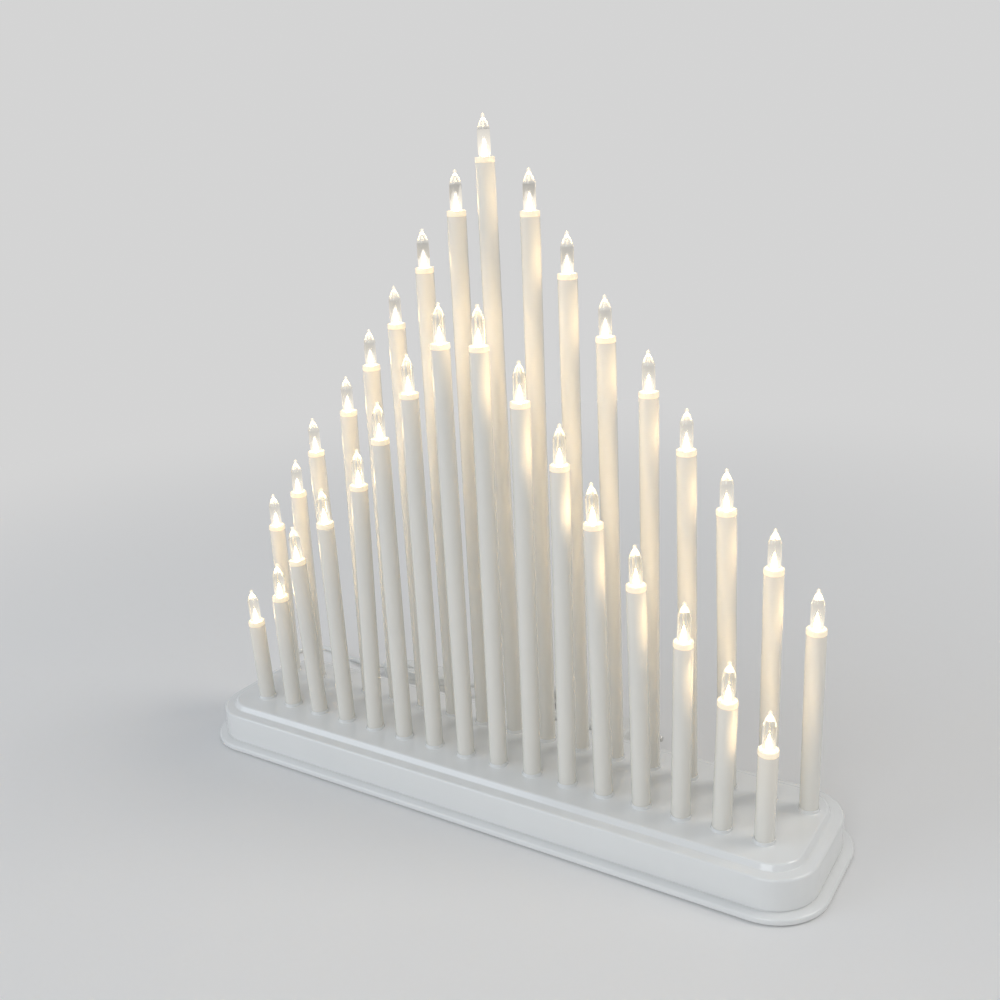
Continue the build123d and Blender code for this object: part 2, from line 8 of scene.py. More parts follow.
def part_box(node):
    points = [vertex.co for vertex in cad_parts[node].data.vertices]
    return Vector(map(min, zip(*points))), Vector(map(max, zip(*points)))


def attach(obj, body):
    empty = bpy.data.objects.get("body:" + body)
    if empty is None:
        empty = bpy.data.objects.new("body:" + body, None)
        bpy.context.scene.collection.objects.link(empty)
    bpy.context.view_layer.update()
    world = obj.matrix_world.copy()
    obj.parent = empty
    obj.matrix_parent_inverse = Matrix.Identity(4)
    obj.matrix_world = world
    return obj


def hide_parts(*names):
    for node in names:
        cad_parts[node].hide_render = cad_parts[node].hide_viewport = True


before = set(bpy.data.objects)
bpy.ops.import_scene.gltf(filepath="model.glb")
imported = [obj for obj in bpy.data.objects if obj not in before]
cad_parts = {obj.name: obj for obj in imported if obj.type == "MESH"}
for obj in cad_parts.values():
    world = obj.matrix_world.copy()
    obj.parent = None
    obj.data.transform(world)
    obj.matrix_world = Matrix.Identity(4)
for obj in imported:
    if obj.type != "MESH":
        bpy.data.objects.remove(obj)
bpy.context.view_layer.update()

# A white electric candle bridge, lit: 33 slim tubes with clear flame bulbs on a long low base.
# Everything is in metres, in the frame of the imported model, and follows the order of assembly.
mm = 0.001


# Base housing
# The base is one glossy white moulded shell, open below. It has a thin rounded flange on the table,
# a shadow groove over it, a leaning wall, a narrow ledge and a raised top that the tubes stand in.
body_length = 404.0 * mm
body_depth = 91.8 * mm
body_corner = 26.0 * mm
roof_top = 26.0 * mm
corner_steps = 14
base_white = (0.83, 0.83, 0.81)
weld_reach = 0.002 * mm
sharp_edge = math.radians(35)
nearly_flat = math.radians(89)
longest_cut = 0.49


def arc_points(centre, radius, start, end, steps):
    """Points on an arc from one angle to another, in degrees, both ends included."""
    angles = [math.radians(start + (end - start) * i / steps) for i in range(steps + 1)]
    return [(centre[0] + radius * math.cos(a), centre[1] + radius * math.sin(a)) for a in angles]


def eased(points, steps=4):
    """A chain of (across, up, rounding) points in millimetres as (across, up) points in metres, with its
    corners rounded."""
    chain = [Vector((x, y)) * mm for x, y, rounding in points]
    made = [chain[0]]
    for i in range(1, len(chain) - 1):
        rounding = points[i][2] * mm
        to_last = chain[i - 1] - chain[i]
        to_next = chain[i + 1] - chain[i]
        half = to_last.angle(to_next) / 2
        if rounding <= 0 or half > nearly_flat:
            made.append(chain[i])
            continue
        cut = min(rounding / math.tan(half), longest_cut * to_last.length, longest_cut * to_next.length)
        a = chain[i] + to_last.normalized() * cut
        b = chain[i] + to_next.normalized() * cut
        for k in range(steps + 1):
            t = k / steps
            made.append(a.lerp(chain[i], t).lerp(chain[i].lerp(b, t), t))
    made.append(chain[-1])
    return [(p.x, p.y) for p in made]


def rounded_loop(length, depth, corner, steps):
    """Points round a rectangle with round corners, counter-clockwise seen from above."""
    loop = []
    for quarter in range(4):
        sx = 1 if quarter in (0, 3) else -1
        sy = 1 if quarter in (0, 1) else -1
        centre = (sx * (length / 2 - corner), sy * (depth / 2 - corner))
        loop += arc_points(centre, corner, 90 * quarter, 90 * quarter + 90, steps)
    return loop


def finished(name, bm):
    """A mesh object from a bmesh, faces outwards, smooth but for its sharp edges."""
    bmesh.ops.remove_doubles(bm, verts=bm.verts, dist=weld_reach)
    bmesh.ops.recalc_face_normals(bm, faces=bm.faces)
    mesh = bpy.data.meshes.new(name)
    bm.to_mesh(mesh)
    bm.free()
    mesh.shade_smooth()
    mesh.set_sharp_from_angle(angle=sharp_edge)
    piece = bpy.data.objects.new(name, mesh)
    bpy.context.scene.collection.objects.link(piece)
    return piece


def skin(name, loops, place=Matrix()):
    """A closed skin over loops of points that have the same count, capped at both ends."""
    bm = bmesh.new()
    rows = [[bm.verts.new(place @ Vector(p)) for p in loop] for loop in loops]
    for low, high in zip(rows, rows[1:]):
        for i in range(len(low)):
            j = (i + 1) % len(low)
            bm.faces.new((low[i], low[j], high[j], high[i]))
    bm.faces.new(rows[0])
    bm.faces.new(rows[-1])
    return finished(name, bm)


def carve(piece, cutter):
    """Cuts one closed mesh out of another and removes the cutter."""
    cut = piece.modifiers.new("cut", "BOOLEAN")
    cut.object = cutter
    cut.operation = "DIFFERENCE"
    cut.solver = "EXACT"
    depsgraph = bpy.context.evaluated_depsgraph_get()
    carved = bpy.data.meshes.new_from_object(piece.evaluated_get(depsgraph))
    piece.modifiers.clear()
    piece.data = carved
    carved.shade_smooth()
    carved.set_sharp_from_angle(angle=sharp_edge)
    bpy.data.objects.remove(cutter)


def moulded(name, colour, roughness, drift, drift_size, ripple, coat=0.0, painted_glow=None):
    """Moulded plastic: slow drifts of tone, cloudy gloss, faint ripples and fine pitting.
    The last argument, if given, is a painted glow (colour, strength, attribute): emission that stands in
    for the lamps' light coming through the piece. Its attribute, if it has one, says how brightly the glow
    is painted at each point."""
    material = bpy.data.materials.new(name)
    material.use_nodes = True
    nodes = material.node_tree.nodes
    links = material.node_tree.links
    shader = nodes["Principled BSDF"]
    place = nodes.new("ShaderNodeTexCoord").outputs["Object"]

    def noise(size, detail=3.0):
        node = nodes.new("ShaderNodeTexNoise")
        node.inputs["Scale"].default_value = size
        node.inputs["Detail"].default_value = detail
        links.new(place, node.inputs["Vector"])
        return node.outputs["Fac"]

    tone = nodes.new("ShaderNodeMix")
    tone.data_type = "RGBA"
    tone.inputs["A"].default_value = (*[c * (1 - drift) for c in colour], 1)
    tone.inputs["B"].default_value = (*[min(1, c * (1 + drift)) for c in colour], 1)
    links.new(noise(drift_size), tone.inputs["Factor"])
    links.new(tone.outputs["Result"], shader.inputs["Base Color"])

    gloss = nodes.new("ShaderNodeMapRange")
    gloss.inputs["From Min"].default_value = 0.3
    gloss.inputs["From Max"].default_value = 0.7
    gloss.inputs["To Min"].default_value = roughness * 0.75
    gloss.inputs["To Max"].default_value = roughness * 1.3
    links.new(noise(drift_size * 3), gloss.inputs["Value"])
    links.new(gloss.outputs["Result"], shader.inputs["Roughness"])

    waves = nodes.new("ShaderNodeBump")
    waves.inputs["Strength"].default_value = ripple
    waves.inputs["Distance"].default_value = 0.6 * mm
    links.new(noise(drift_size * 1.7, 1.0), waves.inputs["Height"])
    pits = nodes.new("ShaderNodeBump")
    pits.inputs["Strength"].default_value = ripple * 0.6
    pits.inputs["Distance"].default_value = 0.05 * mm
    links.new(noise(drift_size * 30, 4.0), pits.inputs["Height"])
    links.new(waves.outputs["Normal"], pits.inputs["Normal"])
    links.new(pits.outputs["Normal"], shader.inputs["Normal"])
    shader.inputs["Coat Weight"].default_value = coat
    shader.inputs["Coat Roughness"].default_value = 0.06
    # Painted glow: emission that stands in for lamp light shining through the plastic.
    if painted_glow:
        painted_glow_colour, strength, attribute = painted_glow
        shader.inputs["Emission Color"].default_value = (*painted_glow_colour, 1)
        shader.inputs["Emission Strength"].default_value = strength
        if attribute:
            level = nodes.new("ShaderNodeAttribute")
            level.attribute_name = attribute
            share = nodes.new("ShaderNodeMath")
            share.operation = "MULTIPLY"
            share.inputs[1].default_value = strength
            links.new(level.outputs["Fac"], share.inputs[0])
            links.new(share.outputs["Value"], shader.inputs["Emission Strength"])
    return material


def dress(piece, material, body="arch", stands_for=()):
    """Gives a finished piece its material, the nodes it stands for and the body it rides on."""
    piece.data.materials.clear()
    piece.data.materials.append(material)
    if stands_for:
        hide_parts(*stands_for)
    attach(piece, body)


# Outset from the wall's foot, height and rounding in millimetres, from the inner roof round to the top.
housing_profile = [
    (-9.1, 23.8, 0), (-9.1, 20.5, 1.0), (-2.2, 20.5, 1.0), (-2.2, 0.8, 0.2), (5.6, 0.8, 0.5),
    (5.6, 4.1, 1.3), (-0.7, 4.1, 0.15), (-0.7, 5.0, 0.15), (0.0, 5.0, 0.2), (-0.3, 22.7, 1.7),
    (-6.9, 22.7, 0.9), (-8.5, 25.6, 0.6), (-9.4, 26.0, 0.2), (-10.4, 26.0, 0),
]
housing_loops = [
    [(x, y, z) for x, y in rounded_loop(
        body_length + 2 * out, body_depth + 2 * out, body_corner + out, corner_steps)]
    for out, z in eased(housing_profile)
]
base_shell = skin("base_shell", housing_loops)

tube_nodes = sorted(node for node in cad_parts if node.startswith("candle_tube"))
end_slice = 1.0 * mm


def candle_ends(node):
    """The middle of a candle tube's foot and of its top, read from the frame."""
    points = [v.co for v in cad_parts[node].data.vertices]
    ends = []
    for level, side in ((min(p.z for p in points), 1), (max(p.z for p in points), -1)):
        ring = [p for p in points if side * (p.z - level) < end_slice]
        ends.append(Vector([(min(p[k] for p in ring) + max(p[k] for p in ring)) / 2 for k in range(3)]))
    return ends


candles = {node: candle_ends(node) for node in tube_nodes}
socket_spots = [
    foot + (top - foot) * ((roof_top - foot.z) / (top.z - foot.z)) for foot, top in candles.values()
]


def column(bm, spot, radius, bottom, top, sides=24):
    """Adds a plain upright column to a cutter."""
    ring = [(spot.x + radius * math.cos(a), spot.y + radius * math.sin(a))
            for a in (2 * math.pi * i / sides for i in range(sides))]
    low = [bm.verts.new((x, y, bottom)) for x, y in ring]
    high = [bm.verts.new((x, y, top)) for x, y in ring]
    for i in range(sides):
        j = (i + 1) % sides
        bm.faces.new((low[i], low[j], high[j], high[i]))
    bm.faces.new(low[::-1])
    bm.faces.new(high)


socket_radius = 5.35 * mm
socket_bottom = 22.0 * mm
cutter_top = 28.0 * mm
sockets = bmesh.new()
for spot in socket_spots:
    column(sockets, spot, socket_radius, socket_bottom, cutter_top)
carve(base_shell, finished("socket_cutter", sockets))
base_plastic = moulded("glossy white base plastic", base_white,
                       roughness=0.16, drift=0.02, drift_size=30, ripple=0.05, coat=0.5)
dress(base_shell, base_plastic, stands_for=["base_housing"])


# Socket rings
# A low round collar of the base's own plastic is moulded round each socket. Its inner edge holds the
# foot of the tube that is pushed through it.
def turned(name, outline, sides=24):
    """A form turned about Z from its (radius, height) outline, closed where the outline meets the axis."""
    bm = bmesh.new()
    closed = outline[0][0] > 0
    rows = []
    for radius, height in outline:
        if radius < 0.001 * mm:
            rows.append([bm.verts.new((0, 0, height))])
            continue
        angles = [2 * math.pi * i / sides for i in range(sides)]
        rows.append([bm.verts.new((radius * math.cos(a), radius * math.sin(a), height)) for a in angles])
    pairs = list(zip(rows, rows[1:])) + ([(rows[-1], rows[0])] if closed else [])
    for a, b in pairs:
        for i in range(sides):
            j = (i + 1) % sides
            corners = [a[i % len(a)], a[j % len(a)], b[j % len(b)], b[i % len(b)]]
            corners = list(dict.fromkeys(corners))
            if len(corners) > 2:
                bm.faces.new(corners)
    return finished(name, bm)


def tree(name, inputs):
    """An empty Geometry Nodes tree with a Geometry input, the named inputs and a Geometry output."""
    group = bpy.data.node_groups.new(name, "GeometryNodeTree")
    group.interface.new_socket("Geometry", in_out="INPUT", socket_type="NodeSocketGeometry")
    for label, kind in inputs.items():
        group.interface.new_socket(label, in_out="INPUT", socket_type=f"NodeSocket{kind}")
    group.interface.new_socket("Geometry", in_out="OUTPUT", socket_type="NodeSocketGeometry")
    return group, group.nodes.new("NodeGroupInput").outputs, group.nodes.new("NodeGroupOutput").inputs


def grown(name, seeds, group, values):
    """Runs a tree on an object of seed points and keeps the result as a plain mesh piece."""
    modifier = seeds.modifiers.new(name, "NODES")
    modifier.node_group = group
    for item in group.interface.items_tree:
        if item.in_out == "INPUT" and item.name in values:
            modifier[item.identifier] = values[item.name]
    depsgraph = bpy.context.evaluated_depsgraph_get()
    mesh = bpy.data.meshes.new_from_object(seeds.evaluated_get(depsgraph))
    mesh.name = name
    bpy.data.objects.remove(seeds)
    piece = bpy.data.objects.new(name, mesh)
    bpy.context.scene.collection.objects.link(piece)
    return piece


def seed_points(name, spots, aims, edges=()):
    """Points that carry the direction each copy stands up in, for a tree to grow on."""
    mesh = bpy.data.meshes.new(name)
    mesh.from_pydata(spots, edges, [])
    aim = mesh.attributes.new("aim", "FLOAT_VECTOR", "POINT")
    for i, direction in enumerate(aims):
        aim.data[i].vector = direction
    seeds = bpy.data.objects.new(name, mesh)
    bpy.context.scene.collection.objects.link(seeds)
    return seeds


copies, given, result = tree("copies on points", {
    "Piece": "Object", "Lift": "Float", "Twist": "Float", "Tilt": "Float", "Finish": "Material"})
add_node = copies.nodes.new
join = copies.links.new
source = add_node("GeometryNodeObjectInfo")
source.transform_space = "ORIGINAL"
source.inputs["As Instance"].default_value = True
aim = add_node("GeometryNodeInputNamedAttribute")
aim.data_type = "FLOAT_VECTOR"
aim.inputs["Name"].default_value = "aim"
stand = add_node("FunctionNodeAlignRotationToVector")
stand.axis = "Z"
spread = add_node("FunctionNodeRandomValue")
spread.data_type = "FLOAT_VECTOR"
spread.inputs["Seed"].default_value = 12
turn_low = add_node("ShaderNodeCombineXYZ")
turn_high = add_node("ShaderNodeCombineXYZ")
tilt_back = add_node("ShaderNodeMath")
tilt_back.operation = "MULTIPLY"
tilt_back.inputs[1].default_value = -1.0
sway = add_node("FunctionNodeRotateRotation")
sway.rotation_space = "LOCAL"
as_rotation = add_node("FunctionNodeEulerToRotation")
raise_by = add_node("ShaderNodeVectorMath")
raise_by.operation = "SCALE"
shift = add_node("GeometryNodeSetPosition")
place_copies = add_node("GeometryNodeInstanceOnPoints")
plain = add_node("GeometryNodeRealizeInstances")
paint = add_node("GeometryNodeSetMaterial")
join(given["Piece"], source.inputs["Object"])
join(aim.outputs["Attribute"], stand.inputs["Vector"])
join(aim.outputs["Attribute"], raise_by.inputs["Vector"])
join(given["Lift"], raise_by.inputs["Scale"])
join(given["Tilt"], tilt_back.inputs[0])
for end, tilt in ((turn_low, tilt_back.outputs["Value"]), (turn_high, given["Tilt"])):
    join(tilt, end.inputs["X"])
    join(tilt, end.inputs["Y"])
join(given["Twist"], turn_high.inputs["Z"])
join(turn_low.outputs["Vector"], spread.inputs["Min"])
join(turn_high.outputs["Vector"], spread.inputs["Max"])
join(spread.outputs["Value"], as_rotation.inputs["Euler"])
join(stand.outputs["Rotation"], sway.inputs["Rotation"])
join(as_rotation.outputs["Rotation"], sway.inputs["Rotate By"])
join(given["Geometry"], shift.inputs["Geometry"])
join(raise_by.outputs["Vector"], shift.inputs["Offset"])
join(shift.outputs["Geometry"], place_copies.inputs["Points"])
join(source.outputs["Geometry"], place_copies.inputs["Instance"])
join(sway.outputs["Rotation"], place_copies.inputs["Rotation"])
join(place_copies.outputs["Instances"], plain.inputs["Geometry"])
join(plain.outputs["Geometry"], paint.inputs["Geometry"])
join(given["Finish"], paint.inputs["Material"])
join(paint.outputs["Geometry"], result["Geometry"])


def repeat(name, prototype, spots, aims, material, lift=0.0, twist=0.0, tilt=0.0):
    """Stands one copy of a prototype on each spot, as one mesh."""
    piece = grown(name, seed_points(f"{name}_spots", spots, aims), copies, {
        "Piece": prototype, "Lift": lift, "Twist": twist, "Tilt": tilt, "Finish": material})
    bpy.data.objects.remove(prototype)
    return piece


up = Vector((0, 0, 1))
ring_outline = eased([
    (5.22, -0.1, 0), (6.3, -0.1, 0), (5.72, 0.15, 0.5), (5.62, 2.0, 0.35), (5.3, 2.05, 0.12),
    (5.22, 1.9, 0),
])
ring = turned("ring", ring_outline)
rings = repeat("socket_rings", ring, socket_spots, [up] * len(socket_spots), base_plastic)
dress(rings, base_plastic)


# Base plate, screws and feet
# A flat moulded plate closes the housing from below. Six cross-head screws hold it to the posts inside,
# and four soft rubber pads in round recesses carry the weight.
plate_plastic = moulded("matt white plate plastic", (0.72, 0.72, 0.70),
                        roughness=0.5, drift=0.03, drift_size=45, ripple=0.25)


def dress_node(node, material):
    """Puts a material on a CAD node that stays."""
    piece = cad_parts[node]
    if piece.material_slots:
        for holder in piece.material_slots:
            holder.material = material
    else:
        piece.data.materials.append(material)


dress_node("base_plate", plate_plastic)


def metal(name, colour, roughness):
    """Plated or bare metal with fine scratches and cloudy gloss."""
    material = moulded(name, colour, roughness, drift=0.06, drift_size=400, ripple=0.08)
    material.node_tree.nodes["Principled BSDF"].inputs["Metallic"].default_value = 1.0
    return material


zinc = metal("zinc-plated steel", (0.56, 0.57, 0.58), roughness=0.32)
screw_outline = eased([
    (0, 0.6, 0), (2.9, 0.6, 0.1), (2.9, 0.35, 0.4), (1.6, 0.06, 0.8), (0, 0.04, 0),
])
screw_sink = 0.6 * mm
cross_length = 3.2 * mm
cross_width = 0.75 * mm
cross_corner = 0.2 * mm
cross_heights = (-0.5 * mm, 0.42 * mm)
plate_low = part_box("base_plate")[0][2]
post_inset = 12.5 * mm
post_x = body_length / 2 - post_inset - body_corner / 2
post_y = body_depth / 2 - post_inset
screw_spots = [Vector((sx * post_x, sy * post_y, plate_low)) for sx in (-1, 0, 1) for sy in (-1, 1)]


def cross_head(outline):
    """A screw head with a cross recess, head downwards."""
    head = turned("head", outline)
    arm = rounded_loop(cross_length, cross_width, cross_corner, steps=2)
    for turn in (0, 90):
        slot = skin("slot", [[(x, y, z) for x, y in arm] for z in cross_heights],
                    Matrix.Rotation(math.radians(turn), 4, "Z"))
        carve(head, slot)
    return head


screws = repeat("plate_screws", cross_head(screw_outline), screw_spots, [up] * len(screw_spots), zinc,
                lift=-screw_sink, twist=math.pi)
dress(screws, zinc)

feet_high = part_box("rubber_feet")[1]
pad_radius = 6.5 * mm
pad_x = feet_high[0] - pad_radius
pad_y = feet_high[1] - pad_radius
pad_spots = [Vector((sx * pad_x, sy * pad_y, 0)) for sx in (-1, 1) for sy in (-1, 1)]
pad_outline = eased([
    (0, 0.35, 0), (2.2, 0.35, 0.2), (2.6, 0.0, 0.3), (6.2, 0.0, 0.5), (6.45, 0.9, 0.5), (6.45, 2.2, 0.1),
    (0, 2.2, 0),
])
foot_rubber = moulded("soft dark rubber", (0.025, 0.025, 0.027),
                      roughness=0.7, drift=0.15, drift_size=200, ripple=0.35)
pad = turned("pad", pad_outline, sides=32)
feet = repeat("rubber_pads", pad, pad_spots, [up] * len(pad_spots), foot_rubber)
dress(feet, foot_rubber, stands_for=["rubber_feet"])


# Driver board
# Inside the base a small coated circuit board on four posts feeds the lamps. The board, its parts and the
# terminal block keep their solid shapes, and so do the brass contacts inside the switch.
dress_node("driver_board", moulded(
    "coated green board", (0.03, 0.16, 0.07), roughness=0.35, drift=0.12, drift_size=250, ripple=0.2))
dress_node("driver_components", moulded(
    "dark moulded epoxy", (0.02, 0.02, 0.022), roughness=0.45, drift=0.15, drift_size=300, ripple=0.3))
dress_node("terminal_block", moulded(
    "green terminal plastic", (0.06, 0.3, 0.12), roughness=0.4, drift=0.08, drift_size=200, ripple=0.2))
dress_node("switch_contacts", metal("stamped brass", (0.75, 0.55, 0.22), roughness=0.3))


# Candle tubes
# Slim white moulded tubes, 33 in two rows, glossy and a little wider at the top. Each is pushed through
# its socket, so some lean. A warm glow is painted on the walls as emission. It stands in for the lamps'
# light coming through them and fades out over the first few centimetres down.
tube_foot_radius = 5.15 * mm
tube_top_radius = 5.3 * mm
tube_rings = 40
tube_sides = 32
# Painted glow on the tube walls: its strength, and how far down from the top it fades out.
painted_wall_glow = 0.07
painted_glow_reach = 46.0 * mm
tubing, given, result = tree("moulded tubes", {
    "Foot radius": "Float", "Top radius": "Float", "Sides": "Int", "Painted glow reach": "Float",
    "Finish": "Material"})
add_node = tubing.nodes.new
join = tubing.links.new
as_curve = add_node("GeometryNodeMeshToCurve")
divide = add_node("GeometryNodeResampleCurve")
divide.inputs["Count"].default_value = tube_rings
along = add_node("GeometryNodeSplineParameter")
draft = add_node("ShaderNodeMapRange")
whole = add_node("GeometryNodeSplineLength")
below = add_node("ShaderNodeMath")
below.operation = "SUBTRACT"
# The painted glow level is 1 at the tube's top and fades to 0 at the given reach below it.
painted_glow_fade = add_node("ShaderNodeMapRange")
painted_glow_fade.interpolation_type = "SMOOTHSTEP"
painted_glow_fade.inputs["To Min"].default_value = 1.0
painted_glow_fade.inputs["To Max"].default_value = 0.0
store_painted_glow = add_node("GeometryNodeStoreNamedAttribute")
store_painted_glow.data_type = "FLOAT"
store_painted_glow.domain = "POINT"
store_painted_glow.inputs["Name"].default_value = "painted_glow_level"
section = add_node("GeometryNodeCurvePrimitiveCircle")
section.inputs["Radius"].default_value = 1.0
wall = add_node("GeometryNodeCurveToMesh")
wall.inputs["Fill Caps"].default_value = True
paint = add_node("GeometryNodeSetMaterial")
plain = add_node("GeometryNodeRealizeInstances")
join(given["Geometry"], as_curve.inputs["Mesh"])
join(as_curve.outputs["Curve"], divide.inputs["Curve"])
join(along.outputs["Factor"], draft.inputs["Value"])
join(given["Foot radius"], draft.inputs["To Min"])
join(given["Top radius"], draft.inputs["To Max"])
join(draft.outputs["Result"], wall.inputs["Scale"])
join(whole.outputs["Length"], below.inputs[0])
join(along.outputs["Length"], below.inputs[1])
join(below.outputs["Value"], painted_glow_fade.inputs["Value"])
join(given["Painted glow reach"], painted_glow_fade.inputs["From Max"])
join(divide.outputs["Curve"], store_painted_glow.inputs["Geometry"])
join(painted_glow_fade.outputs["Result"], store_painted_glow.inputs["Value"])
join(given["Sides"], section.inputs["Resolution"])
join(store_painted_glow.outputs["Geometry"], wall.inputs["Curve"])
join(section.outputs["Curve"], wall.inputs["Profile Curve"])
join(wall.outputs["Mesh"], plain.inputs["Geometry"])
join(plain.outputs["Geometry"], paint.inputs["Geometry"])
join(given["Finish"], paint.inputs["Material"])
join(paint.outputs["Geometry"], result["Geometry"])

candle_plastic = moulded("glossy white candle plastic with painted glow", (0.82, 0.79, 0.72),
                         roughness=0.13, drift=0.025, drift_size=55, ripple=0.07, coat=0.6,
                         painted_glow=((1.0, 0.72, 0.36), painted_wall_glow, "painted_glow_level"))
for side in ("back", "front"):
    nodes_here = [node for node in tube_nodes if side in node]
    spots = [end for node in nodes_here for end in candles[node]]
    edges = [(2 * i, 2 * i + 1) for i in range(len(nodes_here))]
    ends = seed_points(f"tube_ends_{side}", spots, [up] * len(spots), edges)
    tubes = grown(f"candle_tubes_{side}", ends, tubing, {
        "Foot radius": tube_foot_radius, "Top radius": tube_top_radius, "Sides": tube_sides,
        "Painted glow reach": painted_glow_reach, "Finish": candle_plastic})
    tubes.data.shade_smooth()
    tubes.data.set_sharp_from_angle(angle=sharp_edge)
    dress(tubes, candle_plastic, stands_for=nodes_here)


# Lamp holders
# A shallow cup of milky moulded plastic is pressed on each tube's mouth and takes the bulb. A cream glow
# is painted on it as emission, standing in for the lamp's light shining through the cup.
holder_outline = eased([
    (0, 2.2, 0), (3.1, 2.2, 0.25), (3.35, 2.55, 0.2), (3.7, 2.55, 0.2), (3.95, 2.2, 0.2),
    (4.3, 2.95, 0.35), (5.38, 3.0, 0.5), (5.4, 0.35, 0.15), (5.2, 0.0, 0.1), (0, 0, 0),
])
# Painted glow: an even cream emission on every holder, in place of the lamp's light through the cup.
painted_holder_glow = 0.36
holder_plastic = moulded("milky lamp holder with painted glow", (0.88, 0.82, 0.68),
                         roughness=0.25, drift=0.04, drift_size=150, ripple=0.1, coat=0.4,
                         painted_glow=((1.0, 0.76, 0.46), painted_holder_glow, None))


def on_candles(name, side, prototype, material, lift, twist=0.0, tilt=0.0):
    """Stands one copy on the top of each candle of a row, in line with its tube."""
    ends = [candles[node] for node in tube_nodes if side in node]
    tops = [top for foot, top in ends]
    aims = [(top - foot).normalized() for foot, top in ends]
    piece = repeat(f"lit_{name}_{side}", prototype, tops, aims, material, lift, twist, tilt)
    dress(piece, material, stands_for=[f"{name}_{side}"])
    return piece


for side in ("back", "front"):
    holder = turned("holder", holder_outline, sides=32)
    on_candles("lamp_holders", side, holder, holder_plastic, lift=0.0)


# LED cores
# A warm white LED stands in each bulb's bore. Its clear resin lens is drawn out to a point like a small
# flame, and it shines all over.
bulb_lift = 2.2 * mm
led_strength = 62.0
led_outline = eased([
    (0, 0.05, 0), (1.3, 0.05, 0.1), (1.4, 3.4, 1.6), (0.85, 6.6, 2.0), (0.22, 9.6, 0.4), (0, 9.9, 0),
])
led_lit = bpy.data.materials.new("warm lit LED")
led_lit.use_nodes = True
led_nodes = led_lit.node_tree.nodes
led_links = led_lit.node_tree.links
led_shader = led_nodes["Principled BSDF"]
led_shader.inputs["Base Color"].default_value = (1.0, 0.86, 0.6, 1)
led_shader.inputs["Roughness"].default_value = 0.3
led_spot = led_nodes.new("ShaderNodeTexNoise")
led_spot.inputs["Scale"].default_value = 500
led_place = led_nodes.new("ShaderNodeTexCoord")
led_tone = led_nodes.new("ShaderNodeMix")
led_tone.data_type = "RGBA"
led_tone.inputs["A"].default_value = (1.0, 0.66, 0.30, 1)
led_tone.inputs["B"].default_value = (1.0, 0.80, 0.48, 1)
led_links.new(led_place.outputs["Object"], led_spot.inputs["Vector"])
led_links.new(led_spot.outputs["Fac"], led_tone.inputs["Factor"])
led_links.new(led_tone.outputs["Result"], led_shader.inputs["Emission Color"])
led_shader.inputs["Emission Strength"].default_value = led_strength
for side in ("back", "front"):
    on_candles("leds", side, turned("led", led_outline, sides=16), led_lit, bulb_lift)


# Flame bulbs
# Clear moulded bulbs with a narrow neck, a nearly straight body, a pointed shoulder and a small ball at
# the tip. They are pushed into their holders, so each sits at its own turn and a little out of true.
bulb_tilt = math.radians(1.0)
ball_centre = (0, 21.18 * mm)
ball_radius = 1.12 * mm
bubble_centre = (0, 21.2 * mm)
bubble_radius = 0.45 * mm
# Painted light and shade on the clear bulb wall: a glow whose strength is given by share of height. It
# paints a bright foot, a dim band near two thirds up, a bright highlight on the shoulder and a bright tip.
painted_bulb_glow = 0.45
painted_bulb_glow_shares = [
    (0.0, 0.6), (0.3, 0.3), (0.45, 0.1), (0.62, 0.03), (0.7, 0.2), (0.86, 0.4), (0.91, 0.15), (1.0, 0.5),
]
bulb_outline = [(0, 11.0 * mm)] + eased([
    (0.35, 10.8, 0), (0.8, 9.0, 1.0), (1.65, 6.0, 2.0), (1.9, 3.0, 1.0), (1.9, 0.0, 0), (2.4, 0.0, 0.15),
    (2.4, 0.9, 0.4), (3.35, 1.7, 0.7), (3.5, 6.0, 3.0), (3.45, 14.7, 2.2), (2.1, 18.3, 3.0),
    (0.9, 20.1, 0.7), (0.8, 20.5, 0.3),
])[:-1] + arc_points(ball_centre, ball_radius, start=-42, end=90, steps=8)
tip_bubble = arc_points(bubble_centre, bubble_radius, start=-90, end=90, steps=6)


def painted_glow_share(share):
    """How brightly a glow is painted on the bulb's clear wall at a share of its height."""
    for (low, low_glow), (high, high_glow) in zip(painted_bulb_glow_shares, painted_bulb_glow_shares[1:]):
        if share <= high:
            return low_glow + (high_glow - low_glow) * (share - low) / (high - low)
    return painted_bulb_glow_shares[-1][1]


def bulb_with_painted_glow():
    """A bulb with a bubble in its tip, whose points carry how brightly a glow is painted on them."""
    bulb = turned("bulb", bulb_outline)
    height = max(v.co.z for v in bulb.data.vertices)
    bubble = turned("bubble", tip_bubble, sides=8)
    bubble.data.flip_normals()
    with_bubble = bmesh.new()
    with_bubble.from_mesh(bulb.data)
    with_bubble.from_mesh(bubble.data)
    with_bubble.to_mesh(bulb.data)
    with_bubble.free()
    bpy.data.objects.remove(bubble)
    level = bulb.data.attributes.new("painted_glow_level", "FLOAT", "POINT")
    for i, vertex in enumerate(bulb.data.vertices):
        level.data[i].value = painted_glow_share(vertex.co.z / height)
    return bulb


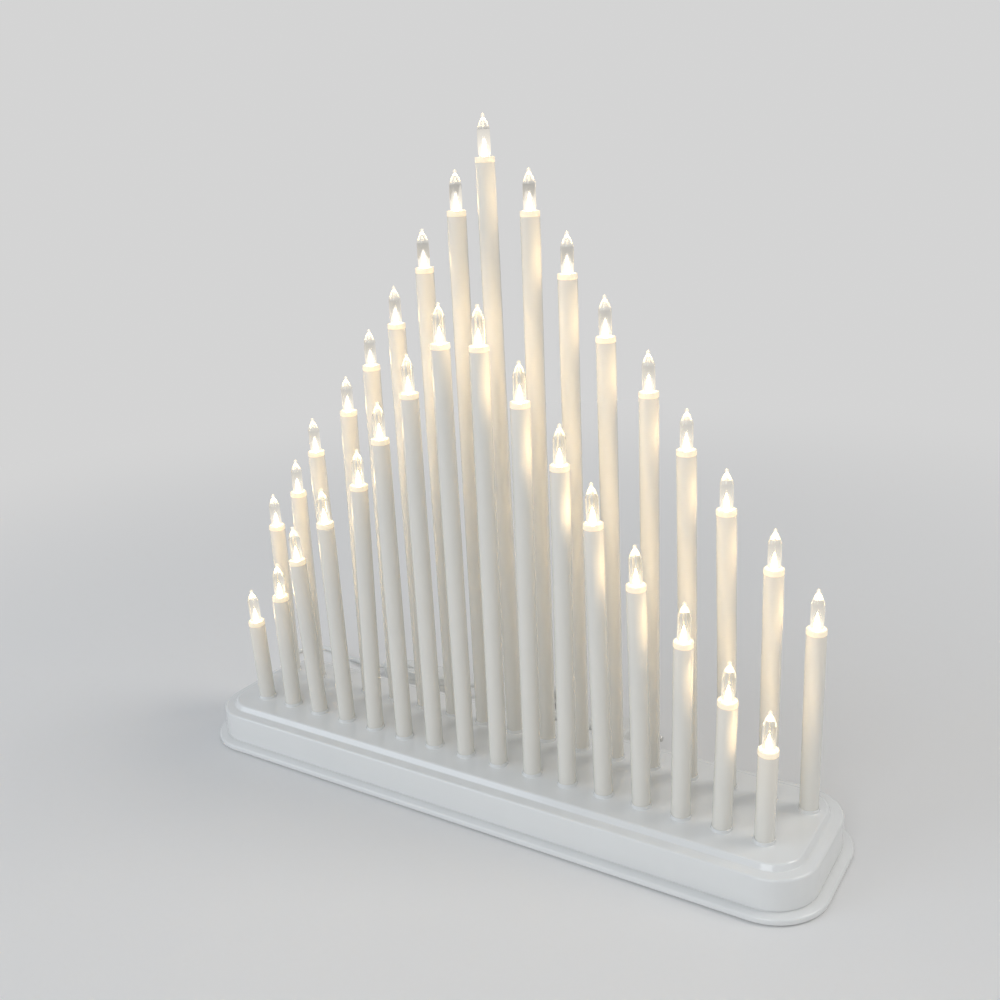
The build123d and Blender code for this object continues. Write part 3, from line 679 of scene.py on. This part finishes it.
bulb_clear = bpy.data.materials.new("clear flame bulb")
bulb_clear.use_nodes = True
glass_nodes = bulb_clear.node_tree.nodes
glass_links = bulb_clear.node_tree.links
glass = glass_nodes["Principled BSDF"]
glass.inputs["Transmission Weight"].default_value = 1.0
glass.inputs["IOR"].default_value = 1.49
glass_place = glass_nodes.new("ShaderNodeTexCoord")
glass_flow = glass_nodes.new("ShaderNodeMapping")
glass_flow.inputs["Scale"].default_value = (1, 1, 0.25)
streak = glass_nodes.new("ShaderNodeTexNoise")
streak.inputs["Scale"].default_value = 420
tint = glass_nodes.new("ShaderNodeMix")
tint.data_type = "RGBA"
tint.inputs["A"].default_value = (1.0, 0.95, 0.86, 1)
tint.inputs["B"].default_value = (1.0, 0.985, 0.95, 1)
haze = glass_nodes.new("ShaderNodeMapRange")
haze.inputs["To Min"].default_value = 0.01
haze.inputs["To Max"].default_value = 0.07
flow_lines = glass_nodes.new("ShaderNodeBump")
flow_lines.inputs["Strength"].default_value = 0.15
flow_lines.inputs["Distance"].default_value = 0.15 * mm
glass_links.new(glass_place.outputs["Object"], glass_flow.inputs["Vector"])
glass_links.new(glass_flow.outputs["Vector"], streak.inputs["Vector"])
glass_links.new(streak.outputs["Fac"], tint.inputs["Factor"])
glass_links.new(streak.outputs["Fac"], haze.inputs["Value"])
glass_links.new(streak.outputs["Fac"], flow_lines.inputs["Height"])
glass_links.new(tint.outputs["Result"], glass.inputs["Base Color"])
glass_links.new(haze.outputs["Result"], glass.inputs["Roughness"])
glass_links.new(flow_lines.outputs["Normal"], glass.inputs["Normal"])
# Painted glow: the glass emits by each point's painted level, in place of the LED's light seen inside it.
glass.inputs["Emission Color"].default_value = (1.0, 0.86, 0.62, 1)
painted_shine = glass_nodes.new("ShaderNodeAttribute")
painted_shine.attribute_name = "painted_glow_level"
painted_shine_level = glass_nodes.new("ShaderNodeMath")
painted_shine_level.operation = "MULTIPLY"
painted_shine_level.inputs[1].default_value = painted_bulb_glow
glass_links.new(painted_shine.outputs["Fac"], painted_shine_level.inputs[0])
glass_links.new(painted_shine_level.outputs["Value"], glass.inputs["Emission Strength"])
for side in ("back", "front"):
    bulbs = on_candles("flame_bulbs", side, bulb_with_painted_glow(), bulb_clear, bulb_lift,
                       twist=2 * math.pi, tilt=bulb_tilt)
    bulbs.visible_shadow = False


# Cord bush
# A soft white bush with a collar is pressed into the back wall. Its long grooved sleeve tapers down to the
# cord and keeps it from kinking. Its outline is given in millimetres.
exit_x = -58.0 * mm
exit_z = 11.5 * mm
wall_y = 45.8
sleeve_radius = 3.95
groove_count = 6
groove_pitch = 2.5
groove_depth = 0.55
groove_taper = 0.22
bush_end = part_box("cord_bush")[1][1] / mm - 0.05
bush_points = [(0, 42.0, 0), (4.7, 42.0, 0.2), (4.7, 43.3, 0.1), (3.3, 43.3, 0), (3.3, wall_y, 0)]
bush_points += [(4.8, wall_y + 0.1, 0.2), (4.75, wall_y + 1.4, 0.5), (sleeve_radius, wall_y + 1.7, 0.2)]
for groove in range(groove_count):
    start = wall_y + 2.6 + groove * groove_pitch
    radius = sleeve_radius - groove * groove_taper
    bush_points += [
        (radius, start, 0.2), (radius - groove_depth, start + 0.25, 0.2),
        (radius - groove_depth, start + 1.15, 0.2), (radius - 0.2, start + 1.4, 0.2),
    ]
bush_points += [(2.5, bush_end, 0.4), (0, bush_end, 0)]
cord_rubber = moulded("smooth white cord sheath", (0.78, 0.78, 0.75),
                      roughness=0.38, drift=0.03, drift_size=180, ripple=0.06)
bush = turned("cord_bush_sleeve", eased(bush_points, steps=2), sides=32)
bush.data.transform(Matrix.Translation((exit_x, 0, exit_z)) @ Matrix.Rotation(math.radians(-90), 4, "X"))
dress(bush, cord_rubber, stands_for=["cord_bush"])


# In-line switch
# A slim two-part switch on the cord, lying behind the base. Both shells are smooth white plastic with a
# fine seam, and the rocker between them tips about a cross pin.
switch_x = -124.0 * mm
switch_y = 85.0 * mm
switch_turn = math.radians(2.0)
switch_place = Matrix.Translation((switch_x, switch_y, 0)) @ Matrix.Rotation(switch_turn, 4, "Z")
switch_length = 58.0 * mm
switch_width = 17.0 * mm
switch_corner = 7.5 * mm
window_length = 14.7 * mm
window_width = 8.7 * mm
window_corner = 0.8 * mm
window_heights = (10.0 * mm, 13.5 * mm)
switch_plastic = moulded("smooth white switch plastic", (0.80, 0.80, 0.77),
                         roughness=0.28, drift=0.03, drift_size=60, ripple=0.03)


def switch_shell(name, profile):
    """One half of the switch from its (outset, height, rounding) profile."""
    loops = []
    for out, z in eased(profile):
        loop = rounded_loop(switch_length + 2 * out, switch_width + 2 * out, switch_corner + out, steps=8)
        loops.append([(x, y, z) for x, y in loop])
    return skin(name, loops, switch_place)


lower_shell = switch_shell("switch_lower", [
    (-2.3, 1.5, 0), (-1.5, 1.5, 0.5), (-1.5, 5.65, 0.1), (0.0, 5.65, 0.15), (0.0, 0.0, 1.6),
    (-2.6, 0.0, 0),
])
upper_shell = switch_shell("switch_upper", [
    (-2.3, 11.0, 0), (-1.5, 11.0, 0.5), (-1.5, 5.85, 0.1), (0.0, 5.85, 0.15), (0.0, 10.9, 1.0),
    (-1.6, 12.5, 1.2), (-3.2, 12.5, 0),
])
window_loop = rounded_loop(window_length, window_width, window_corner, steps=4)
window = skin("window", [[(x, y, z) for x, y in window_loop] for z in window_heights], switch_place)
carve(upper_shell, window)
dress(lower_shell, switch_plastic, stands_for=["switch_lower_shell"])
dress(upper_shell, switch_plastic, stands_for=["switch_upper_shell"])

rocker_tilt = math.radians(9.0)
rocker_half_width = 4.0 * mm
rocker_edge = 0.35 * mm
pin_height = 9.9 * mm
rocker_outline = eased([
    (0, -1.7, 0), (-6.9, -1.7, 0.5), (-7.1, 0.5, 4.0), (-6.75, 3.95, 0.5), (0, 3.0, 5.0), (6.75, 3.95, 0.5),
    (7.1, 0.5, 4.0), (6.9, -1.7, 0.5), (0.01, -1.7, 0),
], steps=5)
rocker_bm = bmesh.new()
rocker_sides = [
    [rocker_bm.verts.new((x, y, z)) for x, z in rocker_outline[:-1]]
    for y in (-rocker_half_width, rocker_half_width)
]
for i in range(len(rocker_sides[0])):
    j = (i + 1) % len(rocker_sides[0])
    rocker_bm.faces.new((rocker_sides[0][i], rocker_sides[0][j], rocker_sides[1][j], rocker_sides[1][i]))
for outline in rocker_sides:
    rocker_bm.faces.new(outline)
rims = [e for e in rocker_bm.edges if abs(e.verts[0].co.y - e.verts[1].co.y) < 0.001 * mm]
bmesh.ops.bevel(rocker_bm, geom=rims, offset=rocker_edge, segments=3, affect="EDGES")
rocker_place = switch_place @ Matrix.Translation((0, 0, pin_height)) @ Matrix.Rotation(rocker_tilt, 4, "Y")
rocker_bm.transform(rocker_place)
rocker = finished("rocker_key", rocker_bm)
dress(rocker, switch_plastic, "rocker", stands_for=["switch_rocker"])


# Cord
# A round two-core lead with a smooth white sheath. It leaves the bush square, runs left through the switch,
# turns back behind the base, lies in a neat put-away coil and ends in the plug. Its way is in millimetres.
cord_diameter = 3.5 * mm
to_switch = [
    (-58.0, 66.27, 11.5), (-58.0, 71.9, 11.5), (-59.8, 77.2, 10.9), (-63.2, 81.7, 10.0),
    (-67.9, 85.0, 8.9), (-73.2, 86.7, 7.7), (-84.23, 86.39, 6.25), (-96.2, 85.97, 6.25),
]
to_coil = [
    (-151.8, 84.03, 6.25), (-163.78, 83.61, 6.25), (-175.0, 86.2, 3.6), (-187.5, 89.5, 1.75),
    (-201.6, 92.8, 1.75), (-216.6, 95.3, 1.75), (-228.5, 96.6, 1.75), (-238.5, 87.0, 1.75),
    (-239.5, 69.6, 1.75), (-228.5, 57.4, 1.75), (-206.0, 57.6, 1.75), (-158.0, 57.0, 1.75),
    (-108.0, 58.4, 1.75), (-66.0, 57.2, 1.75), (-46.0, 58.0, 2.9), (-34.3, 57.6, 2.9), (-23.5, 57.6, 2.9),
]
to_plug = [
    (-16.5, 60.0, 7.3), (-10.5, 60.0, 7.3), (-4.3, 62.1, 7.3), (4.3, 68.9, 6.8), (10.4, 71.0, 6.8),
    (18.2, 71.0, 6.8),
]
coil_x = -20.0
coil_y = 84.6
coil_inner_radius = 15.0
half_turn_growth = 2.4
half_turns_in = 5
half_turns_out = 4
coil_low = 2.9
coil_high = 7.3
points_per_half_turn = 10


def coil_turns():
    """The coil's points: half circles that wind in below, climb in one half turn and wind out above."""
    radii = [coil_inner_radius + half_turn_growth * (half_turns_in - i) for i in range(half_turns_in + 1)]
    radii += [coil_inner_radius + half_turn_growth * i for i in range(half_turns_out + 1)]
    heights = [coil_low] * (half_turns_in + 1) + [coil_high] * (half_turns_out + 1)
    points = []
    for i in range(len(radii) - 1):
        side = -1 if i % 2 == 0 else 1
        middle_y = coil_y + side * (radii[i] - radii[i + 1]) / 2
        reach = (radii[i] + radii[i + 1]) / 2 / math.cos(math.pi / points_per_half_turn / 2)
        for k in range(points_per_half_turn):
            share = (k + 0.5) / points_per_half_turn
            x = coil_x - side * reach * math.sin(math.pi * share)
            y = middle_y + side * reach * math.cos(math.pi * share)
            points.append((x, y, heights[i] + (heights[i + 1] - heights[i]) * share))
    return points


def lead(name, points):
    """A round cord along a smooth curve through its control points, in millimetres."""
    curve = bpy.data.curves.new(name, "CURVE")
    curve.dimensions = "3D"
    curve.resolution_u = 5
    curve.bevel_depth = cord_diameter / 2
    curve.bevel_resolution = 4
    curve.use_fill_caps = True
    spline = curve.splines.new("NURBS")
    spline.points.add(len(points) - 1)
    for point, place in zip(spline.points, points):
        point.co = (*[value * mm for value in place], 1)
    spline.order_u = 3
    spline.use_endpoint_u = True
    piece = bpy.data.objects.new(name, curve)
    bpy.context.scene.collection.objects.link(piece)
    return piece


switch_lead = lead("lead_to_switch", to_switch)
dress(switch_lead, cord_rubber, stands_for=["cord_to_switch"])
plug_lead = lead("lead_to_plug", to_coil + coil_turns() + to_plug)
dress(plug_lead, cord_rubber, stands_for=["cord_to_coil", "cord_coil", "cord_to_plug"])


# Coil tie
# A flat closed band of white plastic is slipped round all the turns on one side of the put-away coil and
# keeps them together.
tie_low, tie_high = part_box("coil_tie")
tie_plastic = moulded("white band plastic", (0.75, 0.75, 0.72),
                      roughness=0.45, drift=0.04, drift_size=250, ripple=0.1)
tie_thickness = 0.8 * mm
tie_corner = 3.0 * mm
tie_edge = 0.18 * mm


def band(name, low, high, thickness):
    """A closed band whose outer face fills the box and whose hole leaves its thickness all round."""
    middle = [(low[k] + high[k]) / 2 for k in range(3)]
    depth = high[1] - low[1]
    height = high[2] - low[2]
    rows = []
    for inset, x in ((0, low[0]), (0, high[0]), (thickness, high[0]), (thickness, low[0])):
        loop = rounded_loop(depth - 2 * inset, height - 2 * inset, tie_corner - inset, steps=5)
        rows.append([(x, middle[1] + u, middle[2] + v) for u, v in loop])
    bm = bmesh.new()
    made = [[bm.verts.new(p) for p in row] for row in rows]
    for a, b in zip(made, made[1:] + made[:1]):
        for i in range(len(a)):
            j = (i + 1) % len(a)
            bm.faces.new((a[i], a[j], b[j], b[i]))
    edges = [e for e in bm.edges if len({round(v.co.x, 6) for v in e.verts}) == 1]
    bmesh.ops.bevel(bm, geom=edges, offset=tie_edge, segments=2, affect="EDGES")
    return finished(name, bm)


tie = band("coil_band", tie_low, tie_high, tie_thickness)
dress(tie, tie_plastic, stands_for=["coil_tie"])


# Plug and pins
# A flat two-pin plug moulded on the cord: a narrow ribbed neck swells to a wide nose, and two nickel pins
# with white sleeves stand out of its face.
plug_low, plug_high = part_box("plug_body")
plug_plastic = moulded("white plug plastic", (0.77, 0.77, 0.74),
                       roughness=0.4, drift=0.03, drift_size=80, ripple=0.05)
plug_middle = [(plug_low[k] + plug_high[k]) / 2 for k in range(3)]
plug_length = plug_high[0] - plug_low[0]
plug_steps = 60
neck_half_width = 6.0 * mm
neck_half_height = 5.6 * mm
nose_swell = 10.5 * mm
nose_rise = 1.2 * mm
rib_depth = 0.35 * mm
rib_pitch = 2.6 * mm
ribbed_share = 0.36
plug_edge = 2.0 * mm
plug_corner_share = 0.62


def smooth_share(value, start, end):
    """0 before start, 1 after end, and a smooth rise between them."""
    share = min(1, max(0, (value - start) / (end - start)))
    return share * share * (3 - 2 * share)


def plug_loops():
    """Loops of the plug from its cord end to its face, ribbed on the neck and rounded at both ends."""
    loops = []
    for i in range(plug_steps + 1):
        share = i / plug_steps
        rib = 0
        if share < ribbed_share:
            rib = rib_depth * max(0, math.sin(share * plug_length / rib_pitch * 2 * math.pi))
        from_end = min(plug_edge, min(share, 1 - share) * plug_length)
        pull = plug_edge - math.sqrt(max(0, plug_edge ** 2 - (plug_edge - from_end) ** 2))
        half_width = neck_half_width + nose_swell * smooth_share(share, 0.28, 0.74) + rib - pull
        half_height = neck_half_height + nose_rise * smooth_share(share, 0.2, 0.6) + rib / 2 - pull
        corner = min(half_width, half_height) * plug_corner_share
        x = plug_low[0] + share * plug_length
        loop = rounded_loop(2 * half_width, 2 * half_height, corner, steps=6)
        loops.append([(x, plug_middle[1] + u, plug_middle[2] + v) for u, v in loop])
    return loops


plug = skin("flat_plug", plug_loops())
dress(plug, plug_plastic, stands_for=["plug_body"])

pins_low, pins_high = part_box("plug_pins")
pin_radius = 2.0
pin_spread = (pins_high[1] - pins_low[1]) / 2 - pin_radius * mm
pin_reach = (pins_high[0] - plug_high[0]) / mm
pin_spots = [Vector((plug_high[0], plug_middle[1] + s * pin_spread, plug_middle[2])) for s in (-1, 1)]
forwards = [Vector((1, 0, 0))] * 2
sleeve_outline = eased([(0, -1, 0), (1.95, -1, 0), (1.95, 9.4, 0.1), (1.7, 9.8, 0.1), (0, 9.8, 0)])
sleeves = repeat("pin_sleeves", turned("sleeve", sleeve_outline), pin_spots, forwards, plug_plastic)
dress(sleeves, plug_plastic)
nickel = metal("nickel-plated brass", (0.66, 0.65, 0.62), roughness=0.22)
pin_outline = eased([
    (0, 9.2, 0), (pin_radius, 9.2, 0), (pin_radius, pin_reach - 0.02, 1.6), (0, pin_reach, 0),
], steps=6)
pins = repeat("plug_pin_tips", turned("pin", pin_outline), pin_spots, forwards, nickel)
dress(pins, nickel, stands_for=["plug_pins"])


# Floor, light and camera
# The lamp stands on a wide pale floor that fades into an even pale background. Large soft lamps light it
# plainly, and the camera stands where the photograph was taken.
room_colour = (0.66, 0.66, 0.66)
floor_size = 12.0
fade_start = 0.28
fade_end = 1.05
floor_mesh = bpy.data.meshes.new("floor")
floor_corners = [
    (x * floor_size / 2, y * floor_size / 2, 0) for x, y in ((-1, -1), (1, -1), (1, 1), (-1, 1))
]
floor_mesh.from_pydata(floor_corners, [], [(0, 1, 2, 3)])
floor = bpy.data.objects.new("floor", floor_mesh)
bpy.context.scene.collection.objects.link(floor)
floor_paint = bpy.data.materials.new("pale floor")
floor_paint.use_nodes = True
floor_nodes = floor_paint.node_tree.nodes
floor_links = floor_paint.node_tree.links
floor_shader = floor_nodes["Principled BSDF"]
floor_shader.inputs["Base Color"].default_value = (0.83, 0.82, 0.805, 1)
floor_shader.inputs["Roughness"].default_value = 0.55
floor_place = floor_nodes.new("ShaderNodeTexCoord")
floor_away = floor_nodes.new("ShaderNodeVectorMath")
floor_away.operation = "LENGTH"
floor_fade = floor_nodes.new("ShaderNodeMapRange")
floor_fade.interpolation_type = "SMOOTHSTEP"
floor_fade.inputs["From Min"].default_value = fade_start
floor_fade.inputs["From Max"].default_value = fade_end
floor_rays = floor_nodes.new("ShaderNodeLightPath")
floor_seen = floor_nodes.new("ShaderNodeMath")
floor_seen.operation = "MULTIPLY"
floor_room = floor_nodes.new("ShaderNodeEmission")
floor_room.inputs["Color"].default_value = (*room_colour, 1)
floor_mix = floor_nodes.new("ShaderNodeMixShader")
floor_links.new(floor_place.outputs["Object"], floor_away.inputs[0])
floor_links.new(floor_away.outputs["Value"], floor_fade.inputs["Value"])
floor_links.new(floor_fade.outputs["Result"], floor_seen.inputs[0])
floor_links.new(floor_rays.outputs["Is Camera Ray"], floor_seen.inputs[1])
floor_links.new(floor_seen.outputs["Value"], floor_mix.inputs["Fac"])
floor_links.new(floor_shader.outputs["BSDF"], floor_mix.inputs[1])
floor_links.new(floor_room.outputs["Emission"], floor_mix.inputs[2])
floor_links.new(floor_mix.outputs["Shader"], floor_nodes["Material Output"].inputs["Surface"])
floor.data.materials.append(floor_paint)

world = bpy.data.worlds.new("pale room")
bpy.context.scene.world = world
world.use_nodes = True
room_nodes = world.node_tree.nodes
room_links = world.node_tree.links
room_light = room_nodes["Background"]
room_light.inputs["Color"].default_value = (0.88, 0.93, 1.0, 1)
room_light.inputs["Strength"].default_value = 0.36
room_seen = room_nodes.new("ShaderNodeBackground")
room_seen.inputs["Color"].default_value = (*room_colour, 1)
room_rays = room_nodes.new("ShaderNodeLightPath")
seen_either = room_nodes.new("ShaderNodeMath")
seen_either.operation = "MAXIMUM"
seen_any = room_nodes.new("ShaderNodeMath")
seen_any.operation = "MAXIMUM"
room_mix = room_nodes.new("ShaderNodeMixShader")
room_links.new(room_rays.outputs["Is Camera Ray"], seen_either.inputs[0])
room_links.new(room_rays.outputs["Is Glossy Ray"], seen_either.inputs[1])
room_links.new(seen_either.outputs["Value"], seen_any.inputs[0])
room_links.new(room_rays.outputs["Is Transmission Ray"], seen_any.inputs[1])
room_links.new(seen_any.outputs["Value"], room_mix.inputs["Fac"])
room_links.new(room_light.outputs["Background"], room_mix.inputs[1])
room_links.new(room_seen.outputs["Background"], room_mix.inputs[2])
room_links.new(room_mix.outputs["Shader"], room_nodes["World Output"].inputs["Surface"])

lamp_aim = Vector((0, 0, 0.15))


def soft_lamp(name, place, size, power, colour):
    """A large square lamp turned to the object's middle."""
    light = bpy.data.lights.new(name, "AREA")
    light.shape = "SQUARE"
    light.size = size
    light.energy = power
    light.color = colour
    lamp = bpy.data.objects.new(name, light)
    lamp.location = place
    lamp.rotation_euler = (lamp_aim - Vector(place)).to_track_quat("-Z", "Y").to_euler()
    bpy.context.scene.collection.objects.link(lamp)


soft_lamp("key", (1.6, 0.9, 2.3), size=1.2, power=21, colour=(1.0, 0.96, 0.9))
soft_lamp("fill", (-1.8, -1.8, 1.5), size=1.8, power=18, colour=(0.80, 0.89, 1.0))
soft_lamp("front", (0.5, -2.4, 1.8), size=1.6, power=21, colour=(0.93, 0.96, 1.0))

camera_azimuth = math.radians(32.82)
camera_elevation = math.radians(17.71)
camera_roll = math.radians(-2.85)
camera_place = Vector((0.3267, -0.4921, 0.3701))
camera_back = Vector((
    math.sin(camera_azimuth) * math.cos(camera_elevation),
    -math.cos(camera_azimuth) * math.cos(camera_elevation),
    math.sin(camera_elevation),
))
level_right = Vector((math.cos(camera_azimuth), math.sin(camera_azimuth), 0))
level_up = camera_back.cross(level_right)
camera_right = level_right * math.cos(camera_roll) + level_up * math.sin(camera_roll)
camera_up = level_up * math.cos(camera_roll) - level_right * math.sin(camera_roll)
camera_turn = Matrix((camera_right, camera_up, camera_back)).transposed().to_4x4()
camera_data = bpy.data.cameras.new("camera")
camera_data.lens = 39.46
camera_data.sensor_width = 36.0
camera_data.clip_start = 0.01
camera = bpy.data.objects.new("camera", camera_data)
camera.matrix_world = Matrix.Translation(camera_place) @ camera_turn
bpy.context.scene.collection.objects.link(camera)
bpy.context.scene.camera = camera
bpy.context.scene.view_settings.view_transform = "Standard"
